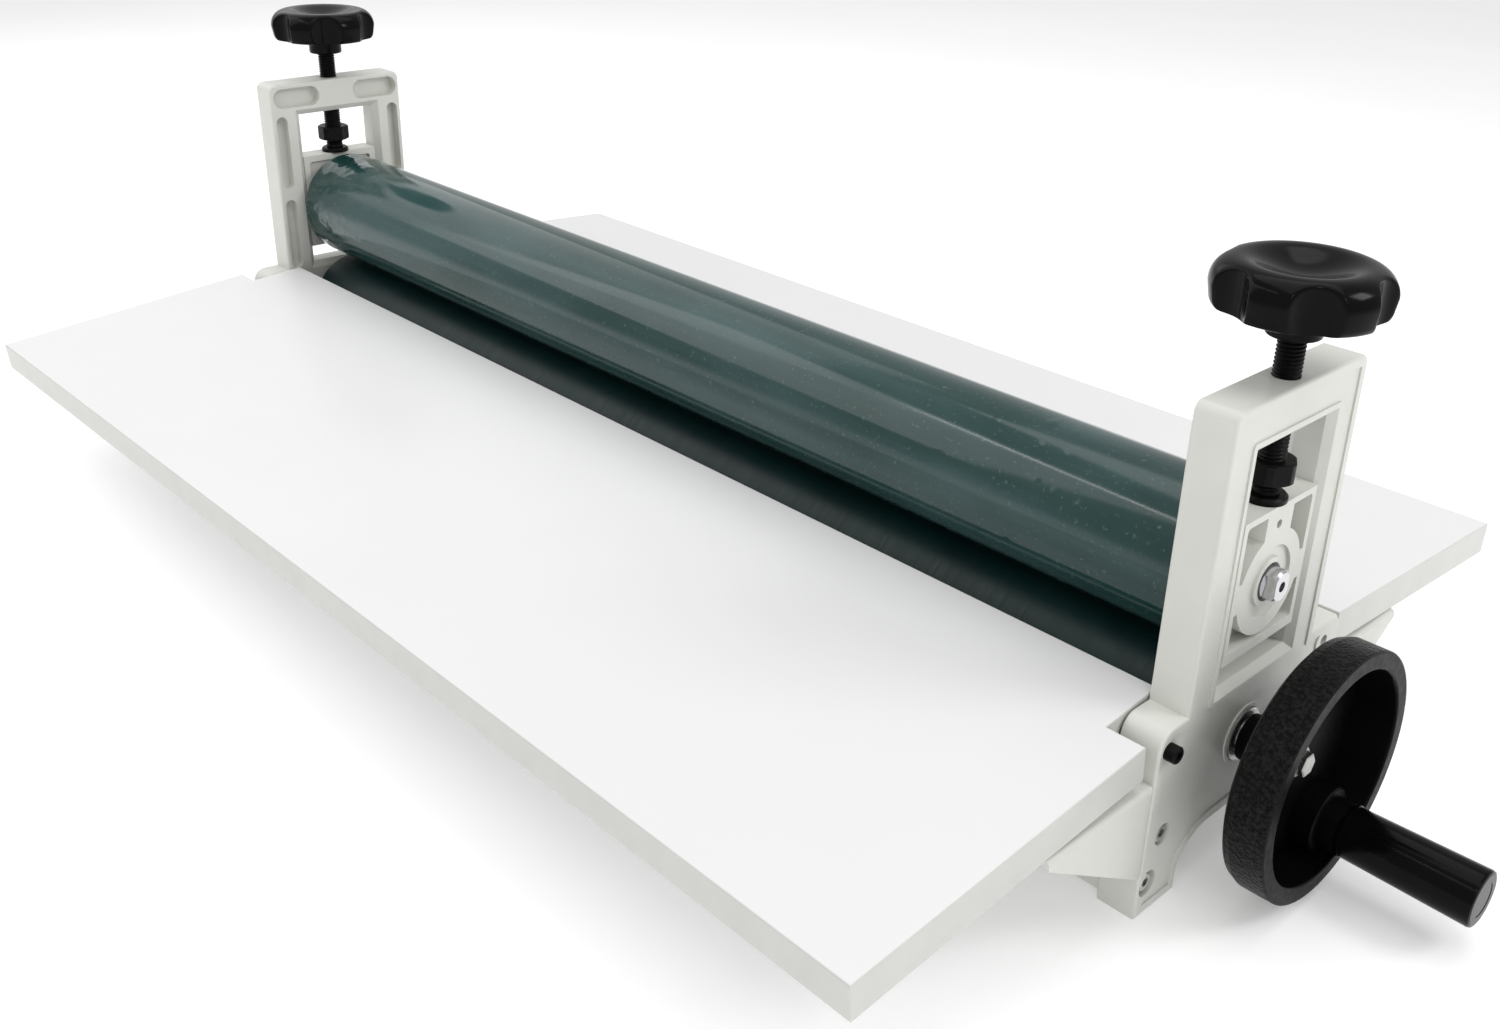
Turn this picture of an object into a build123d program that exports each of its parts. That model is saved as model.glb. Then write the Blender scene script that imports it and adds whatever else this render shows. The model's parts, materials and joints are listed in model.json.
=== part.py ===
from build123d import *
from math import cos, radians, sin, tan
import os

# Manual cold roll laminator: two cast side frames carry a fixed lower roller with a handwheel and a
# height-adjustable upper roller, with a hinged feed table in front and behind.
# X runs along the rollers (+X is the handwheel side), -Y is the operator's side, Z is up.
# The origin is on the bench, halfway between the side frames, under the lower roller's axis.
# All sizes are in millimetres.

# Side frames
FRAME_GAP = 760.0
FRAME_THICKNESS = 20.0
FRAME_INNER = FRAME_GAP / 2
FRAME_OUTER = FRAME_INNER + FRAME_THICKNESS
FRAME_MIDDLE = FRAME_INNER + FRAME_THICKNESS / 2
FRAME_TOP = 233.0
MAST_HALF_WIDTH = 52.0
SHOULDER_HALF_WIDTH = 71.5
SHOULDER_TOP = 96.0
SHOULDER_ROUND = 9.0
REAR_LUG_RADIUS = 14.5
MAST_CORNER_ROUND = 5.0
FOOT_INNER = 40.4
ARCH_TOP = 26.3
ARCH_SPRING = 9.0
ARCH_FLAT_HALF = 18.0
PANEL_RIM = 5.0
PANEL_DEPTH = 0.8
CAST_EDGE_ROUND = 1.5
WINDOW_HALF_WIDTH = 29.5
WINDOW_BOTTOM = 98.5
WINDOW_TOP = 209.5
WINDOW_BEVEL = 3.5
WINDOW_INNER_BEVEL = 4.0
WINDOW_BEAD = 2.5
POCKET_DEPTH = 7.0
TOP_POCKET = (31.5, 222.8, 36.0, 14.0)
SIDE_POCKETS = ((44.7, 183.5, 53.0, 8.6), (44.7, 122.8, 52.0, 8.6))
BUSH_SEAT_RADIUS = 11.0
BUSH_FLANGE_RADIUS = 12.9
BUSH_FLANGE_SEAT = 13.2
BUSH_RIM_RADIUS = 15.2

# Rollers
ROLLER_RADIUS = 37.1
ROLLER_TUBE_RADIUS = 30.0
ROLLER_TUBE_BORE = 26.0
ROLLER_HALF_LENGTH = 375.0
PLUG_LENGTH = 30.0
LOWER_AXIS_Z = 64.3
UPPER_AXIS_Z = 141.3
UPPER_JOURNAL = 7.5
UPPER_JOURNAL_END = 405.0
JOURNAL_HALF_FLAT = 5.4
JOURNAL_FLAT_LENGTH = 6.0
CENTRE_HOLE_RADIUS = 2.4
LOWER_JOURNAL = 8.0
RUNNING_FIT = 0.05
SCREW_FIT = 0.06

# Feed tables
TABLE_HALF_WIDTH = 398.4
TABLE_INNER_HALF_WIDTH = 379.2
TABLE_THICKNESS = 18.0
TABLE_REACH = 252.5
TABLE_NOTCH = 80.7
TABLE_INNER_EDGE = 44.0
TABLE_NOTCH_HEIGHT = 94.6
FRONT_SLOPE = 5.06
REAR_SLOPE = 3.5
HINGE_Y = 65.0
HINGE_Z = 86.0
HINGE_PIN_RADIUS = 3.0
HINGE_PAD_RADIUS = 7.0
HINGE_PIN_REACH = 22.0
SLEEVE_RADIUS = 5.0
HINGE_HEAD_RADIUS = 4.0
HINGE_HEAD_LENGTH = 5.2

# Table brackets
BRACKET_SHEET = 2.0
BRACKET_OUTER = 400.2
BRACKET_FLANGE = 15.0
BRACKET_REACH = 143.0
BRACKET_BOTTOM = 22.3
BRACKET_TIP_HEIGHT = 4.0
BRACKET_SCREW_HEIGHTS = (34.0, 56.0)
BRACKET_SCREW_RADIUS = 2.5
BRACKET_HEAD_RADIUS = 4.5
BRACKET_GAP = 0.1
BRACKET_TAPPING = 9.0
BRACKET_BEND_ROUND = 2.4

# Tie bars and their bolts, given as (distance from the roller axis plane, height)
TIE_BAR_OUTER = 70.0
TIE_BAR_WIDTH = 22.0
TIE_BAR_BOTTOM = 2.5
TIE_BAR_TOP = 50.0
TIE_BAR_WALL = 2.0
TIE_BAR_END = 5.0
TIE_BOLT_SPOTS = ((57.0, 38.5, 5.5), (64.0, 15.8, 6.5))
TIE_BOLT_RADIUS = 3.0
TIE_BOLT_HEAD_RADIUS = 5.0
TIE_BOLT_HEAD_HEIGHT = 3.0
TIE_BOLT_HEAD_SINK = 4.5

# Bearing blocks
BLOCK_HALF_WIDTH = 29.2
BLOCK_BOTTOM = 110.0
BLOCK_TOP = 178.0
BLOCK_OUTER = 398.8
BLOCK_INNER = 383.5
BLOCK_RIM = 3.0
BLOCK_WEB_DEPTH = 8.0
BLOCK_BACK_RIM = 4.5
BLOCK_BACK_DEPTH = 2.5
BLOCK_RING_RADIUS = 24.6
BLOCK_RIB_HEIGHT = 14.0
BLOCK_LIP_RADIUS = 17.0
BLOCK_COLUMN_HALF_WIDTH = 10.5
BLOCK_BACK_COLUMN = (13.0, 28.0)
BLOCK_GROOVE_DEPTH = 1.4
BLOCK_BORE = 9.0
BEARING_RADIUS = 16.0
BEARING_WIDTH = 9.0
BEARING_INNER = BLOCK_INNER + 0.7
BALL_COUNT = 9
BALL_CIRCLE = 11.75
BALL_RADIUS = 2.35
OUTER_RACE_BORE = 13.4
INNER_RACE_RADIUS = 10.1
SET_SCREW_Z = 169.0
SET_SCREW_RADIUS = 2.0
SET_SCREW_SINK = 1.5

# Pressure screws, M12
SCREW_RADIUS = 5.94
SCREW_PIVOT_RADIUS = 3.5
SCREW_PIVOT_BOTTOM = 162.0
PIVOT_GROOVE_HALF = 2.1
WASHER_TOP = 181.0
WASHER_RADIUS = 9.6
NUT_BOTTOM = 187.0
NUT_TOP = 197.0
NUT_CORNER_RADIUS = 11.0
NUT_HEXAGON_RADIUS = 11.8

# Pressure knobs
KNOB_BOTTOM = 250.5
KNOB_RADIUS = 36.2
KNOB_TOP = 281.2
KNOB_SKIRT = 260.8
KNOB_CREST_RADIUS = 24.5
KNOB_HUB_RADIUS = 11.4
KNOB_DISH_DEPTH = 6.0
KNOB_SHOULDER_DROP = 11.0
KNOB_SOCKET_DEPTH = 10.0
KNOB_LOBES = 6
RIGHT_KNOB_TURN = 7.7
LEFT_KNOB_TURN = 24.5
KNOB_SCALLOP_RADIUS = 14.8
KNOB_SCALLOP_DEPTH = 6.0

# Handwheel and crank grip
HUB_START = 402.4
WHEEL_BACK = 424.0
WEB_BACK = 421.0
WEB_FRONT = 426.5
WHEEL_FRONT = 445.5
WHEEL_RADIUS = 59.5
WHEEL_INNER_RADIUS = 51.0
HUB_RADIUS = 11.0
WHEEL_SHAFT_RADIUS = 7.0
WHEEL_WASHER_RADIUS = 7.2
WHEEL_WASHER_THICKNESS = 1.6
WHEEL_BOLT_RADIUS = 3.0
WHEEL_BOLT_HEXAGON = 5.7
TAPPED_DEPTH = 16.0
KEY_MIDDLE = HUB_START + 9.0
KEY_LENGTH = 14.0
KEY_SIZE = 5.0
KEYWAY_PLAY = 0.05
GRIP_Y = 19.3
GRIP_Z = 28.2
GRIP_BOSS_RADIUS = 16.0
GRIP_BOSS_FRONT = 438.0
GRIP_NECK_FRONT = 445.9
GRIP_START = 446.2
GRIP_COLLAR_END = 448.5
GRIP_COLLAR_RADIUS = 12.8
GRIP_END = 507.7
GRIP_RADIUS = 12.2
GRIP_END_RADIUS = 13.3
SPINDLE_RADIUS = 4.0
SPINDLE_THREAD_RADIUS = 3.0
SPINDLE_HEAD_RADIUS = 7.0
SPINDLE_HEAD_START = GRIP_END - 9.0
GRIP_COUNTERBORE_RADIUS = 8.0
GRIP_COUNTERBORE_DEPTH = 9.2
GRIP_END_ROUND = 1.5


def mirrored(source, about):
    """The same piece on the other side of a plane."""
    with BuildPart() as twin:
        mirror(source, about=about)
    return twin.part


def on_four_corners(source):
    """Copies of a front right fastener group at all four corners."""
    with BuildPart() as group:
        add(source)
        mirror(source, about=Plane.XZ)
        mirror(group.part, about=Plane.YZ)
    return group.part


def save(piece, name):
    piece.label = name
    export_step(piece, f"parts/{name}.step")


def save_pair(right_piece, name):
    save(right_piece, f"right_{name}")
    save(mirrored(right_piece, Plane.YZ), f"left_{name}")


def across(x):
    """The plane facing +X at the given x, drawn with Y to the right and Z up."""
    return Plane.YZ.offset(x)


def facing_front(y):
    """The plane facing the operator at the given y, centred on the right frame's thickness."""
    return Plane(origin=(FRAME_MIDDLE, y, 0), x_dir=(1, 0, 0), z_dir=(0, -1, 0))


def ring(x_start, x_end, outer, inner, axis_z):
    """A plain ring around a roller axis."""
    with BuildPart() as piece:
        with BuildSketch(across(x_start)):
            with Locations((0, axis_z)):
                Circle(outer)
                Circle(inner, mode=Mode.SUBTRACT)
        extrude(amount=x_end - x_start)
    return piece.part


# ---------------------------------------------------------------- side frames


def frame_outline(inset):
    """Frame outline with feet, arch, shoulders and mast, drawn inset from its own edge."""
    shoulder_edge = SHOULDER_HALF_WIDTH - inset
    mast_edge = MAST_HALF_WIDTH - inset
    with BuildSketch() as outline:
        with BuildLine():
            flat = Line((0, ARCH_TOP + inset), (ARCH_FLAT_HALF, ARCH_TOP + inset))
            arch = EllipticalCenterArc(
                (ARCH_FLAT_HALF, ARCH_SPRING),
                FOOT_INNER - ARCH_FLAT_HALF + inset,
                ARCH_TOP - ARCH_SPRING + inset,
                start_angle=0,
                arc_size=90,
            )
            Polyline(
                arch @ 0,
                (FOOT_INNER + inset, inset),
                (shoulder_edge, inset),
                (shoulder_edge, SHOULDER_TOP - inset),
                (mast_edge, SHOULDER_TOP - inset),
                (mast_edge, FRAME_TOP - inset),
                (0, FRAME_TOP - inset),
                flat @ 0,
            )
        make_face()
        shoulder = outline.vertices().filter_by_position(Axis.X, shoulder_edge, shoulder_edge)
        fillet(shoulder.sort_by(Axis.Y)[-1], SHOULDER_ROUND - inset)
        mast = outline.vertices().filter_by_position(Axis.X, mast_edge, mast_edge)
        fillet(mast.sort_by(Axis.Y)[-1], MAST_CORNER_ROUND - 0.8 * inset)
        mirror(about=Plane.YZ)
    return outline.sketch


def rear_lug():
    """Round extension of the rear shoulder round the rear hinge, level with the shoulder's top."""
    with BuildSketch() as lug:
        with Locations((HINGE_Y, HINGE_Z)):
            Circle(REAR_LUG_RADIUS)
        with Locations((HINGE_Y, SHOULDER_TOP)):
            Rectangle(
                2 * REAR_LUG_RADIUS, REAR_LUG_RADIUS, align=(Align.CENTER, Align.MIN), mode=Mode.SUBTRACT
            )
    return lug.sketch


def right_frame():
    outline = frame_outline(0)
    lug = rear_lug()
    panel = frame_outline(PANEL_RIM)
    pockets = frame_pockets()
    holes = frame_holes()
    window_middle = (WINDOW_BOTTOM + WINDOW_TOP) / 2
    window_height = WINDOW_TOP - WINDOW_BOTTOM
    bead_edge = WINDOW_BEVEL + WINDOW_BEAD
    with BuildPart() as frame:
        with BuildSketch(across(FRAME_INNER)):
            add(outline)
            add(lug)
        extrude(amount=FRAME_THICKNESS)
        # cast edges are rounded all the way round
        fillet(frame.faces().sort_by(Axis.X)[0].outer_wire().edges(), CAST_EDGE_ROUND)
        fillet(frame.faces().sort_by(Axis.X)[-1].outer_wire().edges(), CAST_EDGE_ROUND)
        # window that guides the bearing block, bevelled on both faces
        with BuildSketch(across(FRAME_INNER)):
            with Locations((0, window_middle)):
                Rectangle(2 * WINDOW_HALF_WIDTH, window_height)
        extrude(amount=FRAME_THICKNESS, mode=Mode.SUBTRACT)
        faces_by_x = frame.faces().sort_by(Axis.X)
        for face, bevel in ((faces_by_x[0], WINDOW_INNER_BEVEL), (faces_by_x[-1], WINDOW_BEVEL)):
            chamfer(face.inner_wires()[0].edges(), bevel)
        # shallow sunk panel inside a raised rim, with a bead left round the window and the bearings
        with BuildSketch(across(FRAME_OUTER)):
            add(panel)
            with Locations((0, window_middle)):
                RectangleRounded(
                    2 * (WINDOW_HALF_WIDTH + bead_edge),
                    window_height + 2 * bead_edge,
                    2,
                    mode=Mode.SUBTRACT,
                )
            with Locations((-HINGE_Y, HINGE_Z), (HINGE_Y, HINGE_Z)):
                Circle(HINGE_PAD_RADIUS, mode=Mode.SUBTRACT)
            with Locations((0, LOWER_AXIS_Z)):
                Circle(BUSH_RIM_RADIUS, mode=Mode.SUBTRACT)
                Circle(BUSH_FLANGE_SEAT)
        extrude(amount=-PANEL_DEPTH, mode=Mode.SUBTRACT)
        add(pockets, mode=Mode.SUBTRACT)
        add(holes, mode=Mode.SUBTRACT)
    return frame.part


def frame_pockets():
    """Round-ended lightening pockets in the inner face, beside and above the window."""
    with BuildPart() as pockets:
        with BuildSketch(across(FRAME_INNER)):
            for side in (-1, 1):
                y, z, length, width = TOP_POCKET
                with Locations((side * y, z)):
                    SlotOverall(length, width)
                for y, z, length, width in SIDE_POCKETS:
                    with Locations((side * y, z)):
                        SlotOverall(length, width, rotation=90)
        extrude(amount=POCKET_DEPTH)
    return pockets.part


def frame_holes():
    """Bush seat, hinge and tie bar holes, the pressure screw's thread and the bracket tappings."""
    with BuildPart() as holes:
        with BuildSketch(across(FRAME_INNER)):
            with Locations((0, LOWER_AXIS_Z)):
                Circle(BUSH_SEAT_RADIUS)
            with Locations((-HINGE_Y, HINGE_Z), (HINGE_Y, HINGE_Z)):
                Circle(HINGE_PIN_RADIUS + RUNNING_FIT)
            for spot_y, spot_z, _ in TIE_BOLT_SPOTS:
                with Locations((-spot_y, spot_z), (spot_y, spot_z)):
                    Circle(TIE_BOLT_RADIUS + RUNNING_FIT)
        extrude(amount=FRAME_THICKNESS)
        with BuildSketch(across(FRAME_OUTER)):
            for spot_y, spot_z, seat in TIE_BOLT_SPOTS:
                with Locations((-spot_y, spot_z), (spot_y, spot_z)):
                    Circle(seat)
        extrude(amount=-TIE_BOLT_HEAD_SINK)
        with BuildSketch(Plane.XY.offset(FRAME_TOP)):
            with Locations((FRAME_MIDDLE, 0)):
                Circle(SCREW_RADIUS + SCREW_FIT)
        extrude(amount=WINDOW_TOP - FRAME_TOP)
        for side in (-1, 1):
            face = facing_front(side * SHOULDER_HALF_WIDTH)
            with BuildSketch(face):
                with Locations(*[(0, height) for height in BRACKET_SCREW_HEIGHTS]):
                    Circle(BRACKET_SCREW_RADIUS + RUNNING_FIT)
            extrude(amount=side * BRACKET_TAPPING)
    return holes.part


# ------------------------------------------------------- tie bars and brackets


def front_tie_bar():
    """Rectangular tube with tapped plates welded into both ends."""
    height = TIE_BAR_TOP - TIE_BAR_BOTTOM
    centre = (-TIE_BAR_OUTER + TIE_BAR_WIDTH / 2, TIE_BAR_BOTTOM + height / 2)
    wall = 2 * TIE_BAR_WALL
    with BuildPart() as bar:
        with BuildSketch(across(-FRAME_INNER)):
            with Locations(centre):
                RectangleRounded(TIE_BAR_WIDTH, height, 2)
        extrude(amount=FRAME_GAP)
        for start in (-FRAME_INNER, FRAME_INNER - TIE_BAR_END):
            with BuildSketch(across(start)):
                for spot_y, spot_z, _ in TIE_BOLT_SPOTS:
                    with Locations((-spot_y, spot_z)):
                        Circle(TIE_BOLT_RADIUS + RUNNING_FIT)
            extrude(amount=TIE_BAR_END, mode=Mode.SUBTRACT)
        with BuildSketch(across(-FRAME_INNER + TIE_BAR_END)):
            with Locations(centre):
                Rectangle(TIE_BAR_WIDTH - wall, height - wall)
        extrude(amount=FRAME_GAP - 2 * TIE_BAR_END, mode=Mode.SUBTRACT)
    return bar.part


def tie_bar_bolts():
    """Button head bolts sunk in the frames' outer faces."""
    tip = FRAME_INNER - TIE_BAR_END
    seat = FRAME_OUTER - TIE_BOLT_HEAD_SINK
    with BuildPart() as bolts:
        for spot_y, spot_z, _ in TIE_BOLT_SPOTS:
            with BuildSketch(across(tip)):
                with Locations((-spot_y, spot_z)):
                    Circle(TIE_BOLT_RADIUS)
            extrude(amount=seat - tip)
            with BuildSketch(across(seat)):
                with Locations((-spot_y, spot_z)):
                    Circle(TIE_BOLT_HEAD_RADIUS)
            extrude(amount=TIE_BOLT_HEAD_HEIGHT)
            with BuildSketch(across(seat + TIE_BOLT_HEAD_HEIGHT)):
                with Locations((-spot_y, spot_z)):
                    RegularPolygon(radius=2.3, side_count=6)
            extrude(amount=-2.0, mode=Mode.SUBTRACT)
        heads = bolts.edges().filter_by(GeomType.CIRCLE).group_by(Axis.X)[-1]
        fillet(heads, 1.5)
    return on_four_corners(bolts.part)


def bracket_height(slope):
    """Height of the table's underside above a bracket's tip."""
    drop = (BRACKET_REACH - TABLE_NOTCH) * tan(radians(slope))
    return TABLE_NOTCH_HEIGHT - drop - TABLE_THICKNESS / cos(radians(slope)) - 0.15


def front_right_bracket(slope):
    """Folded sheet gusset: triangular side plate, top flange and a rear flange on the frame."""
    top = bracket_height(slope)
    back = SHOULDER_HALF_WIDTH + BRACKET_GAP
    with BuildPart() as bracket:
        with BuildSketch(across(BRACKET_OUTER)):
            Polygon(
                (-back, top),
                (-BRACKET_REACH, top),
                (-BRACKET_REACH, top - BRACKET_TIP_HEIGHT),
                (-back, BRACKET_BOTTOM),
                align=None,
            )
        extrude(amount=-BRACKET_FLANGE)
        with BuildSketch(across(BRACKET_OUTER - BRACKET_SHEET)):
            Polygon(
                (-back - BRACKET_SHEET, top - BRACKET_SHEET),
                (-BRACKET_REACH - 1, top - BRACKET_SHEET),
                (-BRACKET_REACH - 1, 0),
                (-back - BRACKET_SHEET, 0),
                align=None,
            )
        extrude(amount=-BRACKET_FLANGE, mode=Mode.SUBTRACT)
        outer = bracket.faces().sort_by(Axis.X)[-1].edges()
        fillet([outer.sort_by(Axis.Z)[-1], outer.sort_by(Axis.Y)[-1]], BRACKET_BEND_ROUND)
        with BuildSketch(facing_front(-back)):
            with Locations(*[(0, height) for height in BRACKET_SCREW_HEIGHTS]):
                Circle(BRACKET_SCREW_RADIUS + BRACKET_GAP)
        extrude(amount=BRACKET_SHEET, mode=Mode.SUBTRACT)
    return bracket.part


def bracket_screws():
    """Pan head screws that fasten the brackets to the frames."""
    head_seat = SHOULDER_HALF_WIDTH + BRACKET_GAP + BRACKET_SHEET
    shank = BRACKET_TAPPING + BRACKET_SHEET - 1
    face = facing_front(-head_seat)
    spots = [(0, height) for height in BRACKET_SCREW_HEIGHTS]
    with BuildPart() as screws:
        with BuildSketch(face):
            with Locations(*spots):
                Circle(BRACKET_SCREW_RADIUS)
        extrude(amount=-shank)
        with BuildSketch(face):
            with Locations(*spots):
                Circle(BRACKET_HEAD_RADIUS)
        extrude(amount=3.0)
        fillet(screws.edges().filter_by(GeomType.CIRCLE).group_by(Axis.Y)[0], 1.2)
    return on_four_corners(screws.part)


def lower_bush():
    """Flanged plain bush for the lower roller's journal, flange outwards."""
    flange_start = FRAME_OUTER - PANEL_DEPTH
    with BuildPart() as bush:
        with BuildSketch(across(FRAME_INNER)):
            with Locations((0, LOWER_AXIS_Z)):
                Circle(BUSH_SEAT_RADIUS - 0.02)
        extrude(amount=flange_start - FRAME_INNER)
        with BuildSketch(across(flange_start)):
            with Locations((0, LOWER_AXIS_Z)):
                Circle(BUSH_FLANGE_RADIUS)
        extrude(amount=1.8)
        chamfer(bush.edges().group_by(Axis.X)[-1], 0.5)
        with BuildSketch(across(FRAME_INNER)):
            with Locations((0, LOWER_AXIS_Z)):
                Circle(LOWER_JOURNAL + RUNNING_FIT)
        extrude(amount=FRAME_THICKNESS + 5, mode=Mode.SUBTRACT)
    return bush.part


# --------------------------------------------------------------- feed tables


def table_plane(side, slope):
    """The sloping top face of a table: local y runs outwards, the normal points down into the board."""
    angle = radians(slope)
    return Plane(
        origin=(0, side * TABLE_NOTCH, TABLE_NOTCH_HEIGHT),
        x_dir=(-side, 0, 0),
        z_dir=(0, -side * sin(angle), -cos(angle)),
    )


def feed_table(side, slope):
    """Board notched round the frames' shoulders, bored in its side edges for the hinge sleeves."""
    stretch = 1 / cos(radians(slope))
    outer_length = (TABLE_REACH - TABLE_NOTCH) * stretch
    inner_length = (TABLE_NOTCH - TABLE_INNER_EDGE) * stretch
    with BuildPart() as table:
        with BuildSketch(table_plane(side, slope)):
            Rectangle(2 * TABLE_HALF_WIDTH, outer_length, align=(Align.CENTER, Align.MIN))
            Rectangle(2 * TABLE_INNER_HALF_WIDTH, inner_length, align=(Align.CENTER, Align.MAX))
        extrude(amount=TABLE_THICKNESS)
        flats = table.faces().filter_by(table_plane(side, slope))
        fillet(flats.edges(), 1.0)
        for end in (-1, 1):
            with BuildSketch(across(end * TABLE_INNER_HALF_WIDTH)):
                with Locations((side * HINGE_Y, HINGE_Z)):
                    Circle(SLEEVE_RADIUS)
            extrude(amount=-end * HINGE_PIN_REACH, mode=Mode.SUBTRACT)
    return table.part


def table_sleeves(side):
    """Steel sleeves in the board's side edges that turn on the hinge pins."""
    with BuildPart() as sleeves:
        with BuildSketch(across(TABLE_INNER_HALF_WIDTH - HINGE_PIN_REACH)):
            with Locations((side * HINGE_Y, HINGE_Z)):
                Circle(SLEEVE_RADIUS)
                Circle(HINGE_PIN_RADIUS + RUNNING_FIT, mode=Mode.SUBTRACT)
        extrude(amount=HINGE_PIN_REACH)
        mirror(about=Plane.YZ)
    return sleeves.part


def hinge_pins(side, head_length):
    """Hinge pins through the frames' shoulders; a cap head stands out where head_length is given."""
    tip = TABLE_INNER_HALF_WIDTH - HINGE_PIN_REACH + 1
    mouth = FRAME_OUTER if head_length else FRAME_OUTER - 4
    with BuildPart() as pins:
        with BuildSketch(across(tip)):
            with Locations((side * HINGE_Y, HINGE_Z)):
                Circle(HINGE_PIN_RADIUS)
        extrude(amount=mouth - tip)
        if head_length:
            with BuildSketch(across(mouth)):
                with Locations((side * HINGE_Y, HINGE_Z)):
                    Circle(HINGE_HEAD_RADIUS)
            extrude(amount=head_length)
            chamfer(pins.edges().group_by(Axis.X)[-1], 0.6)
        with BuildSketch(across(pins.part.bounding_box().max.X)):
            with Locations((side * HINGE_Y, HINGE_Z)):
                RegularPolygon(radius=1.9, side_count=6)
        extrude(amount=-2.5, mode=Mode.SUBTRACT)
        mirror(about=Plane.YZ)
    return pins.part


# ------------------------------------------------------------------- rollers


def roller_tube(axis_z):
    half = ROLLER_HALF_LENGTH
    return ring(-half, half, ROLLER_TUBE_RADIUS, ROLLER_TUBE_BORE, axis_z)


def roller_rubber(axis_z):
    sleeve = ring(-ROLLER_HALF_LENGTH, ROLLER_HALF_LENGTH, ROLLER_RADIUS, ROLLER_TUBE_RADIUS, axis_z)
    with BuildPart() as rubber:
        add(sleeve)
        rims = rubber.edges().filter_by(GeomType.CIRCLE).filter_by(
            lambda edge: edge.radius > ROLLER_TUBE_RADIUS + 1
        )
        fillet(rims, 1.0)
    return rubber.part


def journal(axis_z, radius, shoulder_end, end):
    """End plug pressed into the roller tube, with the turned journal that stands out of it."""
    plug_start = ROLLER_HALF_LENGTH - PLUG_LENGTH
    with BuildPart() as piece:
        for start, stop, size in (
            (plug_start, ROLLER_HALF_LENGTH, ROLLER_TUBE_BORE),
            (ROLLER_HALF_LENGTH, shoulder_end, radius + 2),
            (shoulder_end, end, radius),
        ):
            with BuildSketch(across(start)):
                with Locations((0, axis_z)):
                    Circle(size)
            extrude(amount=stop - start)
        chamfer(piece.edges().group_by(Axis.X)[-1], 1.0)
        with BuildSketch(across(end)):
            with Locations((0, axis_z)):
                Circle(CENTRE_HOLE_RADIUS)
        extrude(amount=-4, mode=Mode.SUBTRACT)
    return piece.part


def upper_journal():
    """Upper journal: its end stands out of the block and carries two spanner flats."""
    blank = journal(UPPER_AXIS_Z, UPPER_JOURNAL, BEARING_INNER, UPPER_JOURNAL_END)
    with BuildPart() as piece:
        add(blank)
        with BuildSketch(across(UPPER_JOURNAL_END)):
            with Locations((0, UPPER_AXIS_Z)):
                Circle(2 * UPPER_JOURNAL)
                Rectangle(2 * JOURNAL_HALF_FLAT, 4 * UPPER_JOURNAL, mode=Mode.SUBTRACT)
        extrude(amount=-JOURNAL_FLAT_LENGTH, mode=Mode.SUBTRACT)
    return piece.part


def lower_left_journal():
    return mirrored(journal(LOWER_AXIS_Z, LOWER_JOURNAL, FRAME_INNER - 0.5, FRAME_OUTER + 1), Plane.YZ)


def lower_right_journal():
    """Drive journal: runs on through the frame and carries the handwheel, key and end bolt."""
    wheel_end = WEB_FRONT - 1
    blank = journal(LOWER_AXIS_Z, LOWER_JOURNAL, FRAME_INNER - 0.5, HUB_START - 0.2)
    with BuildPart() as piece:
        add(blank)
        with BuildSketch(across(HUB_START - 0.2)):
            with Locations((0, LOWER_AXIS_Z)):
                Circle(WHEEL_SHAFT_RADIUS)
        extrude(amount=wheel_end - HUB_START + 0.2)
        with BuildSketch(across(wheel_end)):
            with Locations((0, LOWER_AXIS_Z)):
                Circle(WHEEL_BOLT_RADIUS + RUNNING_FIT)
        extrude(amount=-TAPPED_DEPTH, mode=Mode.SUBTRACT)
        keyway = KEY_SIZE + KEYWAY_PLAY
        with Locations((KEY_MIDDLE, 0, LOWER_AXIS_Z + WHEEL_SHAFT_RADIUS)):
            Box(KEY_LENGTH + 2 * KEYWAY_PLAY, keyway, keyway, mode=Mode.SUBTRACT)
    return piece.part


# ------------------------------------------------------- handwheel and crank


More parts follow.
